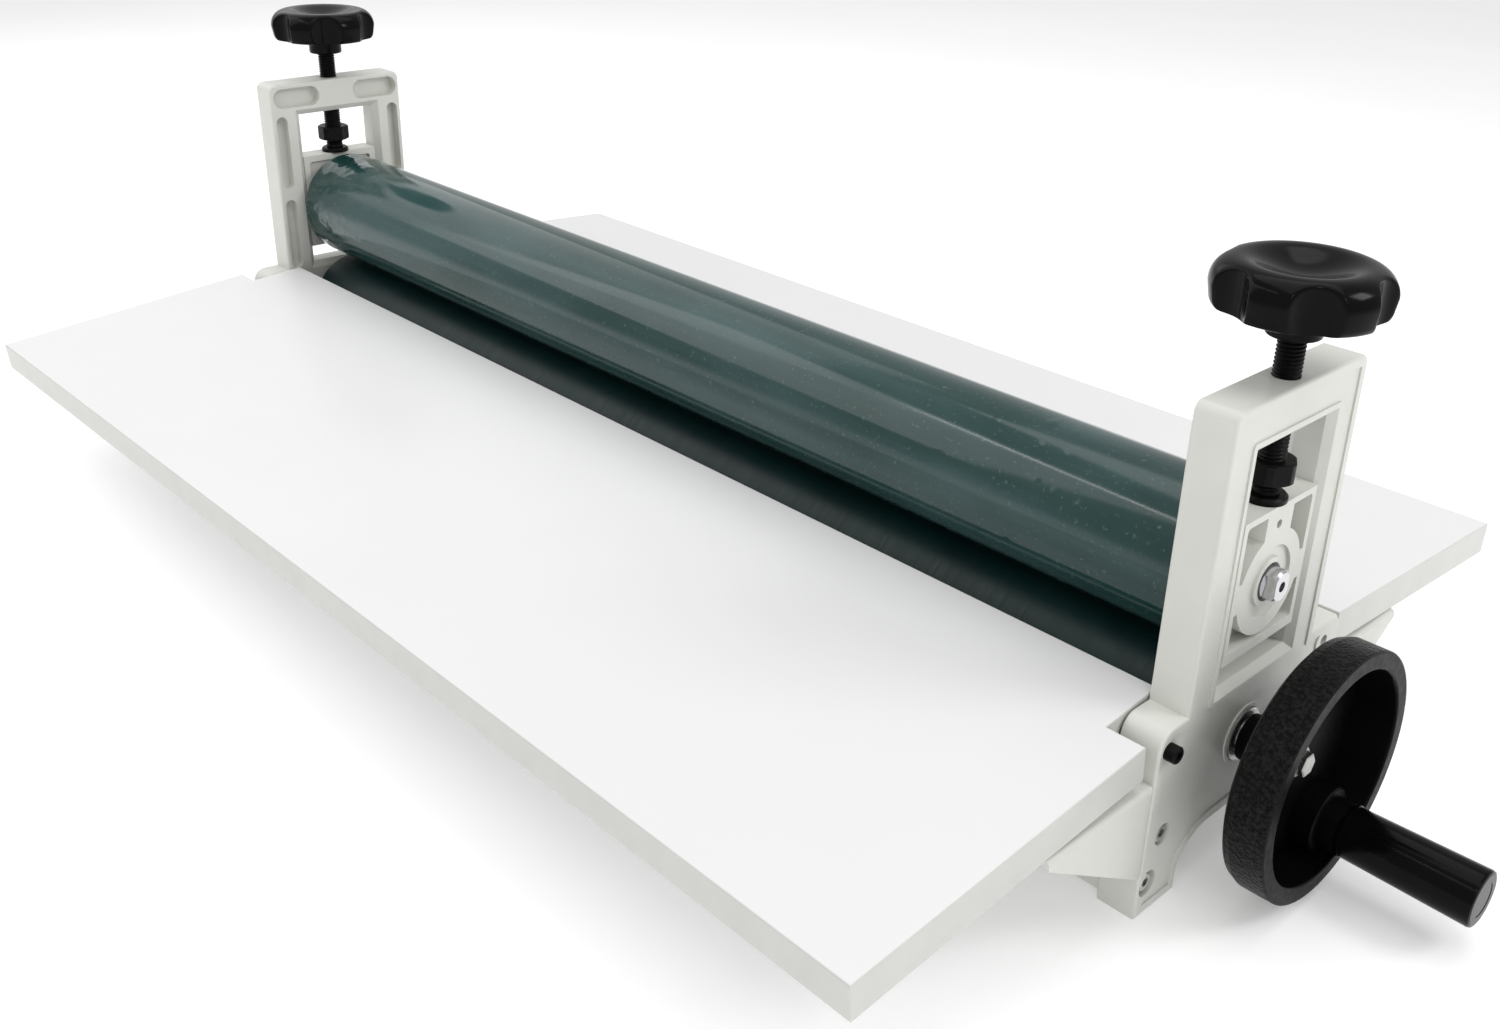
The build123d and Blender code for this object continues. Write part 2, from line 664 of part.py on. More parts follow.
def handwheel():
    """Dished handwheel: hub, web, deep rim and the boss that carries the crank grip."""
    with BuildPart() as wheel:
        with BuildSketch(Plane.XZ):
            with BuildLine():
                Polyline(
                    (HUB_START, LOWER_AXIS_Z),
                    (HUB_START, LOWER_AXIS_Z + HUB_RADIUS),
                    (WEB_BACK, LOWER_AXIS_Z + HUB_RADIUS + 1.5),
                    (WHEEL_BACK, LOWER_AXIS_Z + WHEEL_RADIUS - 5),
                    (WHEEL_BACK + 1.8, LOWER_AXIS_Z + WHEEL_RADIUS - 1.8),
                    (WHEEL_BACK + 6, LOWER_AXIS_Z + WHEEL_RADIUS),
                    (WHEEL_FRONT, LOWER_AXIS_Z + WHEEL_RADIUS),
                    (WHEEL_FRONT, LOWER_AXIS_Z + WHEEL_INNER_RADIUS),
                    (WEB_FRONT, LOWER_AXIS_Z + WHEEL_INNER_RADIUS - 2),
                    (WEB_FRONT, LOWER_AXIS_Z),
                    close=True,
                )
            make_face()
        wheel_axis = Axis((0, 0, LOWER_AXIS_Z), (1, 0, 0))
        revolve(axis=wheel_axis)
        rim = wheel.edges().filter_by(GeomType.CIRCLE).filter_by(lambda edge: edge.radius > 40)
        fillet(rim.group_by(Axis.X)[-1], 1.2)
        with BuildSketch(across(WEB_FRONT - 1)):
            with Locations((GRIP_Y, GRIP_Z)):
                Circle(GRIP_BOSS_RADIUS)
        extrude(amount=GRIP_BOSS_FRONT - WEB_FRONT + 1)
        in_boss_front = wheel.edges().filter_by_position(Axis.X, GRIP_BOSS_FRONT, GRIP_BOSS_FRONT)
        boss_rim = in_boss_front.filter_by(GeomType.CIRCLE).filter_by(
            lambda edge: abs(edge.radius - GRIP_BOSS_RADIUS) < 0.01
        )
        chamfer(boss_rim, 0.8)
        with BuildSketch(across(WEB_FRONT)):
            with Locations((GRIP_Y, GRIP_Z)):
                Circle(GRIP_RADIUS)
        extrude(amount=GRIP_NECK_FRONT - WEB_FRONT)
        with BuildSketch(across(HUB_START)):
            with Locations((0, LOWER_AXIS_Z)):
                Circle(WHEEL_SHAFT_RADIUS + 0.03)
        extrude(amount=WEB_FRONT - HUB_START, mode=Mode.SUBTRACT)
        keyway = KEY_SIZE + KEYWAY_PLAY
        with Locations((KEY_MIDDLE, 0, LOWER_AXIS_Z + WHEEL_SHAFT_RADIUS)):
            Box(2 * (KEY_MIDDLE - HUB_START) + KEYWAY_PLAY, keyway, keyway, mode=Mode.SUBTRACT)
        with BuildSketch(across(GRIP_NECK_FRONT)):
            with Locations((GRIP_Y, GRIP_Z)):
                Circle(SPINDLE_THREAD_RADIUS + RUNNING_FIT)
        extrude(amount=-TAPPED_DEPTH, mode=Mode.SUBTRACT)
    return wheel.part


def handwheel_key():
    with BuildPart() as key:
        with Locations((KEY_MIDDLE, 0, LOWER_AXIS_Z + WHEEL_SHAFT_RADIUS)):
            Box(KEY_LENGTH, KEY_SIZE, KEY_SIZE)
    return key.part


def wheel_washer():
    end = WEB_FRONT + WHEEL_WASHER_THICKNESS
    return ring(WEB_FRONT, end, WHEEL_WASHER_RADIUS, WHEEL_BOLT_RADIUS + 0.2, LOWER_AXIS_Z)


def handwheel_bolt():
    """Hexagon bolt that holds the wheel on its journal."""
    head_start = WEB_FRONT + WHEEL_WASHER_THICKNESS
    with BuildPart() as bolt:
        with BuildSketch(across(head_start)):
            with Locations((0, LOWER_AXIS_Z)):
                RegularPolygon(radius=WHEEL_BOLT_HEXAGON, side_count=6)
        extrude(amount=4)
        chamfer(bolt.edges().group_by(Axis.X)[-1], 0.5)
        with BuildSketch(across(head_start)):
            with Locations((0, LOWER_AXIS_Z)):
                Circle(WHEEL_BOLT_RADIUS)
        extrude(amount=1 - TAPPED_DEPTH)
    return bolt.part


def grip_spindle():
    """Shoulder screw from the wheel's boss through the crank grip."""
    head_start = SPINDLE_HEAD_START
    with BuildPart() as spindle:
        for start, stop, size in (
            (GRIP_NECK_FRONT - TAPPED_DEPTH + 2, GRIP_NECK_FRONT, SPINDLE_THREAD_RADIUS),
            (GRIP_NECK_FRONT, head_start, SPINDLE_RADIUS),
            (head_start, head_start + 4, SPINDLE_HEAD_RADIUS),
        ):
            with BuildSketch(across(start)):
                with Locations((GRIP_Y, GRIP_Z)):
                    Circle(size)
            extrude(amount=stop - start)
        with BuildSketch(across(head_start + 4)):
            with Locations((GRIP_Y, GRIP_Z)):
                Rectangle(1.5, 20)
        extrude(amount=-1.5, mode=Mode.SUBTRACT)
    return spindle.part


def crank_grip():
    """Grip that spins on the spindle: a collar, a slightly flared barrel and a counterbored end."""
    with BuildPart() as grip:
        with BuildSketch(Plane(origin=(0, GRIP_Y, GRIP_Z), x_dir=(1, 0, 0), z_dir=(0, -1, 0))):
            Polygon(
                (GRIP_START, 0),
                (GRIP_START, GRIP_RADIUS),
                (GRIP_COLLAR_END, GRIP_COLLAR_RADIUS),
                (GRIP_COLLAR_END, GRIP_RADIUS),
                (GRIP_END - GRIP_END_ROUND, GRIP_END_RADIUS),
                (GRIP_END - 0.4, GRIP_END_RADIUS - 0.4),
                (GRIP_END, GRIP_END_RADIUS - GRIP_END_ROUND),
                (GRIP_END, 0),
                align=None,
            )
        revolve(axis=Axis((0, GRIP_Y, GRIP_Z), (1, 0, 0)))
        with BuildSketch(across(GRIP_START)):
            with Locations((GRIP_Y, GRIP_Z)):
                Circle(SPINDLE_RADIUS + RUNNING_FIT)
        extrude(amount=GRIP_END - GRIP_START, mode=Mode.SUBTRACT)
        with BuildSketch(across(GRIP_END)):
            with Locations((GRIP_Y, GRIP_Z)):
                Circle(GRIP_COUNTERBORE_RADIUS)
        extrude(amount=-GRIP_COUNTERBORE_DEPTH, mode=Mode.SUBTRACT)
    return grip.part


def grip_cap():
    """Snap-in disc that closes the grip's free end."""
    with BuildPart() as cap:
        with BuildSketch(across(GRIP_END - 3)):
            with Locations((GRIP_Y, GRIP_Z)):
                Circle(GRIP_COUNTERBORE_RADIUS - 0.03)
        extrude(amount=2.8)
    return cap.part


# ------------------------------------------------------------ bearing blocks


def right_block():
    """Block that slides in the frame's window, with webbed faces and a ring boss round the bore."""
    middle = (BLOCK_BOTTOM + BLOCK_TOP) / 2
    height = BLOCK_TOP - BLOCK_BOTTOM
    with BuildPart() as block:
        with BuildSketch(across(BLOCK_INNER)):
            with Locations((0, middle)):
                Rectangle(2 * BLOCK_HALF_WIDTH, height)
        extrude(amount=BLOCK_OUTER - BLOCK_INNER)
        # shallow recess in the inner face, round the bearing seat and the screw's column
        with BuildSketch(across(BLOCK_INNER)):
            with Locations((0, middle)):
                RectangleRounded(2 * (BLOCK_HALF_WIDTH - BLOCK_BACK_RIM), height - 2 * BLOCK_BACK_RIM, 2)
            with Locations((0, UPPER_AXIS_Z)):
                Circle(BEARING_RADIUS + 3.5, mode=Mode.SUBTRACT)
            with Locations((0, SET_SCREW_Z)):
                Rectangle(*BLOCK_BACK_COLUMN, mode=Mode.SUBTRACT)
        extrude(amount=BLOCK_BACK_DEPTH, mode=Mode.SUBTRACT)
        # webbed pockets in the outer face
        with BuildSketch(across(BLOCK_OUTER)):
            with Locations((0, middle + 1)):
                RectangleRounded(2 * (BLOCK_HALF_WIDTH - BLOCK_RIM), height - 2 * BLOCK_RIM - 2, 2)
            with Locations((0, UPPER_AXIS_Z)):
                Circle(BLOCK_RING_RADIUS, mode=Mode.SUBTRACT)
                Rectangle(2 * BLOCK_HALF_WIDTH, BLOCK_RIB_HEIGHT, mode=Mode.SUBTRACT)
            with Locations((0, SET_SCREW_Z)):
                Rectangle(2 * BLOCK_COLUMN_HALF_WIDTH, 20, mode=Mode.SUBTRACT)
        extrude(amount=-BLOCK_WEB_DEPTH, mode=Mode.SUBTRACT)
        # annular groove that leaves a lip round the bore
        with BuildSketch(across(BLOCK_OUTER)):
            with Locations((0, UPPER_AXIS_Z)):
                Circle(BLOCK_LIP_RADIUS)
                Circle(BLOCK_BORE + 2.5, mode=Mode.SUBTRACT)
        extrude(amount=-BLOCK_GROOVE_DEPTH, mode=Mode.SUBTRACT)
        # shaft bore and the bearing seat behind it
        for start, depth, size in (
            (BLOCK_OUTER, BLOCK_OUTER - BLOCK_INNER, BLOCK_BORE),
            (BEARING_INNER + BEARING_WIDTH, BEARING_INNER + BEARING_WIDTH - BLOCK_INNER, BEARING_RADIUS),
            (BLOCK_OUTER, BLOCK_OUTER - FRAME_MIDDLE, SET_SCREW_RADIUS + RUNNING_FIT),
        ):
            height_here = SET_SCREW_Z if size < BLOCK_BORE else UPPER_AXIS_Z
            with BuildSketch(across(start)):
                with Locations((0, height_here)):
                    Circle(size)
            extrude(amount=-depth, mode=Mode.SUBTRACT)
        # seat for the pressure screw's pivot
        with BuildSketch(Plane.XY.offset(BLOCK_TOP)):
            with Locations((FRAME_MIDDLE, 0)):
                Circle(SCREW_PIVOT_RADIUS + RUNNING_FIT)
        extrude(amount=SCREW_PIVOT_BOTTOM - 1 - BLOCK_TOP, mode=Mode.SUBTRACT)
    return block.part


def bearing_rings():
    """Outer ring, inner ring and balls of the right block's bearing, at the seat's depth."""
    groove = across(BEARING_INNER + BEARING_WIDTH / 2)
    ball_room = BALL_RADIUS + 0.06
    pieces = []
    for outer, inner in ((BEARING_RADIUS - 0.02, OUTER_RACE_BORE), (INNER_RACE_RADIUS, UPPER_JOURNAL)):
        blank = ring(BEARING_INNER, BEARING_INNER + BEARING_WIDTH, outer, inner, UPPER_AXIS_Z)
        with BuildPart() as race:
            add(blank)
            with Locations(Plane(origin=groove.origin + (0, 0, UPPER_AXIS_Z), z_dir=(1, 0, 0))):
                Torus(BALL_CIRCLE, ball_room, mode=Mode.SUBTRACT)
        pieces.append(race.part)
    with BuildPart() as balls:
        with Locations(Plane(origin=groove.origin + (0, 0, UPPER_AXIS_Z), z_dir=(1, 0, 0))):
            with PolarLocations(BALL_CIRCLE, BALL_COUNT):
                Sphere(BALL_RADIUS)
    pieces.append(balls.part)
    return pieces


def set_screw():
    """Grub screw whose tip runs in the pivot's groove and keeps screw and block together."""
    tip = FRAME_MIDDLE + SCREW_PIVOT_RADIUS - 0.9
    with BuildPart() as grub:
        with BuildSketch(across(tip)):
            with Locations((0, SET_SCREW_Z)):
                Circle(SET_SCREW_RADIUS)
        extrude(amount=BLOCK_OUTER - SET_SCREW_SINK - tip)
        with BuildSketch(across(BLOCK_OUTER - SET_SCREW_SINK)):
            with Locations((0, SET_SCREW_Z)):
                RegularPolygon(radius=1.1, side_count=6)
        extrude(amount=-2, mode=Mode.SUBTRACT)
    return grub.part


# ------------------------------------------------- pressure screws and knobs


def turned(profile, x):
    """A solid of revolution about the vertical axis at x, from (radius, height) points."""
    with BuildPart() as piece:
        with BuildSketch(Plane.XZ.move(Location((x, 0, 0)))):
            Polygon(*profile, align=None)
        revolve(axis=Axis((x, 0, 0), (0, 0, 1)))
    return piece.part


def pressure_screw():
    """Screw with a grooved pivot below, moulded into the knob above."""
    groove_radius = SCREW_PIVOT_RADIUS - 1
    return turned(
        (
            (0, SCREW_PIVOT_BOTTOM),
            (SCREW_PIVOT_RADIUS - 0.8, SCREW_PIVOT_BOTTOM),
            (SCREW_PIVOT_RADIUS, SCREW_PIVOT_BOTTOM + 0.8),
            (SCREW_PIVOT_RADIUS, SET_SCREW_Z - PIVOT_GROOVE_HALF),
            (groove_radius, SET_SCREW_Z - PIVOT_GROOVE_HALF),
            (groove_radius, SET_SCREW_Z + PIVOT_GROOVE_HALF),
            (SCREW_PIVOT_RADIUS, SET_SCREW_Z + PIVOT_GROOVE_HALF),
            (SCREW_PIVOT_RADIUS, WASHER_TOP + 0.1),
            (SCREW_RADIUS, WASHER_TOP + 0.1),
            (SCREW_RADIUS, KNOB_TOP - KNOB_SOCKET_DEPTH),
            (0, KNOB_TOP - KNOB_SOCKET_DEPTH),
        ),
        FRAME_MIDDLE,
    )


def thrust_washer():
    """Collar between the block's top and the screw's shoulder."""
    inner = SCREW_PIVOT_RADIUS + RUNNING_FIT
    return turned(
        (
            (inner, BLOCK_TOP),
            (WASHER_RADIUS, BLOCK_TOP),
            (WASHER_RADIUS, WASHER_TOP - 1),
            (WASHER_RADIUS - 1, WASHER_TOP),
            (inner, WASHER_TOP),
        ),
        FRAME_MIDDLE,
    )


def lock_nut():
    """Hexagon nut with turned corners."""
    corner = NUT_CORNER_RADIUS
    turned_blank = turned(
        (
            (SCREW_RADIUS + 0.02, NUT_BOTTOM),
            (corner - 1.4, NUT_BOTTOM),
            (corner, NUT_BOTTOM + 0.8),
            (corner, NUT_TOP - 0.8),
            (corner - 1.4, NUT_TOP),
            (SCREW_RADIUS + 0.02, NUT_TOP),
        ),
        FRAME_MIDDLE,
    )
    with BuildPart() as nut:
        with BuildSketch(Plane.XY.offset(NUT_BOTTOM)):
            with Locations((FRAME_MIDDLE, 0)):
                RegularPolygon(radius=NUT_HEXAGON_RADIUS, side_count=6)
        extrude(amount=NUT_TOP - NUT_BOTTOM)
        add(turned_blank, mode=Mode.INTERSECT)
    return nut.part


def knob(turn):
    """Six-lobed knob with a dished top and a hub below, moulded round the screw's upper end."""
    bore = SCREW_RADIUS + 0.02
    with BuildPart() as piece:
        with BuildSketch(Plane.XZ.move(Location((FRAME_MIDDLE, 0, 0)))):
            with BuildLine():
                dish = Spline(
                    (0, KNOB_TOP - KNOB_DISH_DEPTH),
                    (KNOB_CREST_RADIUS * 0.55, KNOB_TOP - 4.6),
                    (KNOB_CREST_RADIUS, KNOB_TOP),
                    tangents=((1, 0), (1, 0)),
                )
                shoulder = Spline(
                    dish @ 1,
                    (KNOB_RADIUS - 4.3, KNOB_TOP - 2.9),
                    (KNOB_RADIUS, KNOB_TOP - KNOB_SHOULDER_DROP),
                    tangents=((1, 0), (0, -1)),
                )
                Polyline(
                    shoulder @ 1,
                    (KNOB_RADIUS - 1.5, KNOB_SKIRT + 1.5),
                    (KNOB_RADIUS - 3.5, KNOB_SKIRT),
                    (KNOB_RADIUS - 10, KNOB_SKIRT),
                    (KNOB_RADIUS - 12, KNOB_SKIRT + 4),
                    (KNOB_HUB_RADIUS, KNOB_SKIRT + 4),
                    (KNOB_HUB_RADIUS, KNOB_BOTTOM),
                    (bore, KNOB_BOTTOM),
                    (bore, KNOB_TOP - KNOB_SOCKET_DEPTH),
                    (0, KNOB_TOP - KNOB_SOCKET_DEPTH),
                    dish @ 0,
                )
            make_face()
        revolve(axis=Axis((FRAME_MIDDLE, 0, 0), (0, 0, 1)))
        # finger scallops, each ending in an arch at the shoulder
        scallop_circle = KNOB_RADIUS - KNOB_SCALLOP_DEPTH + KNOB_SCALLOP_RADIUS
        with Locations((FRAME_MIDDLE, 0, KNOB_BOTTOM)):
            with PolarLocations(scallop_circle, KNOB_LOBES, start_angle=turn):
                Cylinder(KNOB_SCALLOP_RADIUS, 80, mode=Mode.SUBTRACT)
    return piece.part


# --------------------------------------------------------------- all pieces

os.makedirs("parts", exist_ok=True)

save_pair(right_frame(), "side_frame")
save(front_tie_bar(), "front_tie_bar")
save(mirrored(front_tie_bar(), Plane.XZ), "rear_tie_bar")
save(tie_bar_bolts(), "tie_bar_bolts")
save_pair(lower_bush(), "lower_bush")

front_bracket = front_right_bracket(FRONT_SLOPE)
rear_bracket = mirrored(front_right_bracket(REAR_SLOPE), Plane.XZ)
save(front_bracket, "front_right_bracket")
save(mirrored(front_bracket, Plane.YZ), "front_left_bracket")
save(rear_bracket, "rear_right_bracket")
save(mirrored(rear_bracket, Plane.YZ), "rear_left_bracket")
save(bracket_screws(), "bracket_screws")

save(feed_table(-1, FRONT_SLOPE), "front_table")
save(feed_table(1, REAR_SLOPE), "rear_table")
save(table_sleeves(-1), "front_table_sleeves")
save(table_sleeves(1), "rear_table_sleeves")
save(hinge_pins(-1, HINGE_HEAD_LENGTH), "front_hinge_bolts")
save(hinge_pins(1, 0), "rear_hinge_pins")

save(roller_tube(LOWER_AXIS_Z), "lower_roller_tube")
save(roller_rubber(LOWER_AXIS_Z), "lower_roller_rubber")
save(lower_left_journal(), "lower_left_journal")
save(lower_right_journal(), "lower_right_journal")
save(roller_tube(UPPER_AXIS_Z), "upper_roller_tube")
save(roller_rubber(UPPER_AXIS_Z), "upper_roller_rubber")
save(upper_journal(), "upper_right_journal")
save(mirrored(upper_journal(), Plane.YZ), "upper_left_journal")

save(handwheel(), "handwheel")
save(handwheel_key(), "handwheel_key")
save(wheel_washer(), "handwheel_washer")
save(handwheel_bolt(), "handwheel_bolt")
save(grip_spindle(), "grip_spindle")
save(crank_grip(), "crank_grip")
save(grip_cap(), "grip_cap")

save_pair(right_block(), "bearing_block")
for bearing_piece, bearing_name in zip(bearing_rings(), ("outer_ring", "inner_ring", "balls")):
    save_pair(bearing_piece, f"bearing_{bearing_name}")
save_pair(set_screw(), "block_set_screw")
save_pair(pressure_screw(), "pressure_screw")
save_pair(thrust_washer(), "thrust_washer")
save_pair(lock_nut(), "lock_nut")
save(knob(RIGHT_KNOB_TURN), "right_knob")
save(mirrored(knob(LEFT_KNOB_TURN), Plane.YZ), "left_knob")
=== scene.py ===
import json
from math import cos, hypot, radians, sin, tau

import bpy
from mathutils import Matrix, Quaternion, Vector, noise


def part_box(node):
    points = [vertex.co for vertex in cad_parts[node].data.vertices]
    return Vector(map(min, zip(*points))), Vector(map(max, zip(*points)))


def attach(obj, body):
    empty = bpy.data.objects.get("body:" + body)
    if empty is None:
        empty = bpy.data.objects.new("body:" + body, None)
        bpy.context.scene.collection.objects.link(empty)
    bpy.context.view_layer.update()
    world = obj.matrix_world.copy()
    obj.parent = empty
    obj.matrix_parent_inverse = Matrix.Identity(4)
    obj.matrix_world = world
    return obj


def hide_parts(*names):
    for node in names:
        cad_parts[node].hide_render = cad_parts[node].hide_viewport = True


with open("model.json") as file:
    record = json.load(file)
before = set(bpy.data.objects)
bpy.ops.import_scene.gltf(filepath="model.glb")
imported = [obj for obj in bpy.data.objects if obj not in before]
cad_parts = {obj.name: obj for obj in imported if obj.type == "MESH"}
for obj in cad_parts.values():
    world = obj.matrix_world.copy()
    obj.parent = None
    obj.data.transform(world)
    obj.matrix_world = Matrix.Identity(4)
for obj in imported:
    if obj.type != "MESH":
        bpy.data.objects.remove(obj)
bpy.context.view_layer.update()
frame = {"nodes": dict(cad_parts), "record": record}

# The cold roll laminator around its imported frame: materials for every CAD node, and detailed
# meshes for the knobs, the threaded screws and the upper roller's film. Lengths are in metres.

MM = 0.001
NODES = frame["nodes"]


# ------------------------------------------------------------------ materials


class Surface:
    """A Principled material, with short calls for the nodes that give it detail."""

    def __init__(self, name, **values):
        self.material = bpy.data.materials.new(name)
        self.material.use_nodes = True
        self.tree = self.material.node_tree
        self.shader = next(n for n in self.tree.nodes if n.type == "BSDF_PRINCIPLED")
        for key, value in values.items():
            self.shader.inputs[key.replace("_", " ")].default_value = value
        self.relief = None
        coordinates = self.tree.nodes.new("ShaderNodeTexCoord")
        self.place = coordinates.outputs["Object"]
        self.facing = coordinates.outputs["Normal"]

    def add(self, kind, sockets=(), **settings):
        node = self.tree.nodes.new(kind)
        for key, value in settings.items():
            setattr(node, key, value)
        for key, value in dict(sockets).items():
            if isinstance(value, bpy.types.NodeSocket):
                self.tree.links.new(value, node.inputs[key])
            else:
                node.inputs[key].default_value = value
        return node

    def join(self, output, key):
        self.tree.links.new(output, self.shader.inputs[key])

    def stretched(self, scale):
        """Object coordinates multiplied per axis, so that features take that many per metre."""
        return self.add(
            "ShaderNodeVectorMath",
            {0: self.place, 1: scale},
            operation="MULTIPLY",
        ).outputs["Vector"]

    def noise(self, scale, detail=3.0, roughness=0.5, place=None):
        return self.add(
            "ShaderNodeTexNoise",
            {"Vector": place or self.place, "Scale": scale, "Detail": detail, "Roughness": roughness},
        ).outputs["Fac"]

    def cells(self, scale, feature):
        return self.add(
            "ShaderNodeTexVoronoi",
            {"Vector": self.place, "Scale": scale},
            feature=feature,
        ).outputs["Distance"]

    def remap(self, value, low, high, to_low=0.0, to_high=1.0, smooth=False):
        return self.add(
            "ShaderNodeMapRange",
            {"Value": value, "From Min": low, "From Max": high, "To Min": to_low, "To Max": to_high},
            interpolation_type="SMOOTHSTEP" if smooth else "LINEAR",
        ).outputs["Result"]

    def spread(self, value, to_low=0.0, to_high=1.0):
        """Stretches a noise, which keeps near its middle, over the whole of a range."""
        return self.remap(value, 0.3, 0.7, to_low, to_high)

    def math(self, operation, first, second=0.0):
        return self.add("ShaderNodeMath", {0: first, 1: second}, operation=operation).outputs["Value"]

    def blend(self, factor, first, second):
        node = self.tree.nodes.new("ShaderNodeMix")
        node.data_type = "RGBA"
        for index, value in ((0, factor), (6, first), (7, second)):
            if isinstance(value, bpy.types.NodeSocket):
                self.tree.links.new(value, node.inputs[index])
            else:
                node.inputs[index].default_value = value
        return node.outputs[2]

    def bump(self, height, depth, strength=1.0):
        """Adds a relief of that depth to whatever relief the surface has already."""
        sockets = {"Height": height, "Distance": depth, "Strength": strength}
        if self.relief is not None:
            sockets["Normal"] = self.relief
        self.relief = self.add("ShaderNodeBump", sockets).outputs["Normal"]
        self.join(self.relief, "Normal")

    def axis(self, letter, source=None):
        split = self.add("ShaderNodeSeparateXYZ", {"Vector": source or self.place})
        return split.outputs[letter]


def rgb(red, green, blue):
    return (red, green, blue, 1.0)


def grey(level):
    return rgb(level, level, level)


def darker(color, factor):
    return tuple(factor * channel for channel in color[:3]) + (1.0,)


def cast_paint(name, color):
    """Satin paint over a sand casting: soft mottling, orange peel and a faint casting texture."""
    s = Surface(name, Roughness=0.4, Specular_IOR_Level=0.45)
    s.join(s.blend(s.spread(s.noise(28, 4)), color, darker(color, 0.95)), "Base Color")
    s.join(s.spread(s.noise(90, 5), 0.3, 0.46), "Roughness")
    s.bump(s.noise(110, 3), 0.3 * MM, 0.4)
    s.bump(s.noise(900, 2), 0.05 * MM, 0.45)
    return s.material


def powder_coat(name, color):
    """Even paint on sheet metal, with the fine orange peel of a powder coat."""
    s = Surface(name, Roughness=0.45)
    s.join(s.blend(s.spread(s.noise(40, 3)), color, darker(color, 0.95)), "Base Color")
    s.join(s.spread(s.noise(300, 3), 0.38, 0.5), "Roughness")
    s.bump(s.noise(1500, 3), 0.04 * MM, 0.5)
    return s.material


def laminate(name):
    """White melamine on top and below, with a slightly greyer plastic band round the edges."""
    s = Surface(name, Roughness=0.3, Specular_IOR_Level=0.35)
    upright = s.math("ABSOLUTE", s.axis("Z", s.facing))
    face = s.remap(upright, 0.6, 0.95, smooth=True)
    top = s.blend(s.spread(s.noise(6, 4)), grey(0.75), grey(0.73))
    edge = s.blend(s.spread(s.noise(60, 4)), rgb(0.60, 0.605, 0.575), rgb(0.575, 0.58, 0.55))
    s.join(s.blend(face, edge, top), "Base Color")
    s.join(s.spread(s.noise(40, 3), 0.3, 0.38), "Roughness")
    return s.material


def plated_steel(name, color, roughness, grain=(40, 40, 40)):
    """Plated or ground steel with fine machining marks that break up the reflections."""
    s = Surface(name, Metallic=1.0, Roughness=roughness)
    marks = s.noise(60, 4, place=s.stretched(grain))
    s.join(s.blend(marks, color, darker(color, 0.75)), "Base Color")
    s.join(s.spread(marks, roughness * 0.7, roughness * 1.4), "Roughness")
    s.bump(marks, 0.03 * MM, 0.5)
    return s.material


def black_oxide(name):
    """Blackened steel, slightly patchy."""
    s = Surface(name, Roughness=0.4, Specular_IOR_Level=0.1)
    s.join(s.blend(s.spread(s.noise(300, 4)), grey(0.002), grey(0.005)), "Base Color")
    s.join(s.spread(s.noise(700, 3), 0.25, 0.45), "Roughness")
    s.bump(s.noise(1800, 3), 0.03 * MM, 0.4)
    return s.material


def gloss_plastic(name):
    """Moulded black plastic: glossy, with a slow waviness and hair scratches."""
    s = Surface(name, Roughness=0.16, Specular_IOR_Level=0.09)
    s.join(s.blend(s.spread(s.noise(60, 3)), grey(0.001), grey(0.003)), "Base Color")
    scratches = s.noise(90, 5, 0.7, s.stretched((4, 30, 30)))
    s.join(s.remap(scratches, 0.35, 0.75, 0.1, 0.26), "Roughness")
    s.bump(s.noise(60, 2), 0.3 * MM, 0.3)
    s.bump(s.noise(900, 2), 0.01 * MM, 0.5)
    return s.material


def wheel_rim_mask(s, axis_z):
    """1 on the outside of the handwheel's rim, 0 on its side faces and everywhere further in."""
    across = s.axis("Y")
    height = s.math("SUBTRACT", s.axis("Z"), axis_z)
    squares = s.math("ADD", s.math("MULTIPLY", across, across), s.math("MULTIPLY", height, height))
    on_rim = s.remap(s.math("SQRT", squares), 52 * MM, 55 * MM)
    outward = s.remap(s.math("ABSOLUTE", s.axis("X", s.facing)), 0.55, 0.85, 1.0, 0.0)
    return s.math("MULTIPLY", on_rim, outward)


def wheel_moulding(name, axis_z):
    """Black moulding: leather grain round the outside of the rim, smooth satin on the other faces."""
    s = Surface(name, Roughness=0.3, Specular_IOR_Level=0.07)
    grained = wheel_rim_mask(s, axis_z)
    wrinkles = s.noise(560, 3, 0.55)
    creases = s.cells(430, "SMOOTH_F1")
    relief = s.math("MULTIPLY", s.math("ADD", s.spread(wrinkles), creases), grained)
    leather = s.math("MULTIPLY", s.remap(wrinkles, 0.42, 0.62), grained)
    s.join(s.blend(leather, grey(0.002), grey(0.012)), "Base Color")
    satin = s.spread(s.noise(260, 3), 0.34, 0.46)
    s.join(s.add("ShaderNodeMix", {0: grained, 2: satin, 3: 0.3}).outputs[0], "Roughness")
    s.bump(relief, 0.6 * MM, 1.0)
    s.bump(s.noise(800, 3), 0.03 * MM, 0.5)
    return s.material


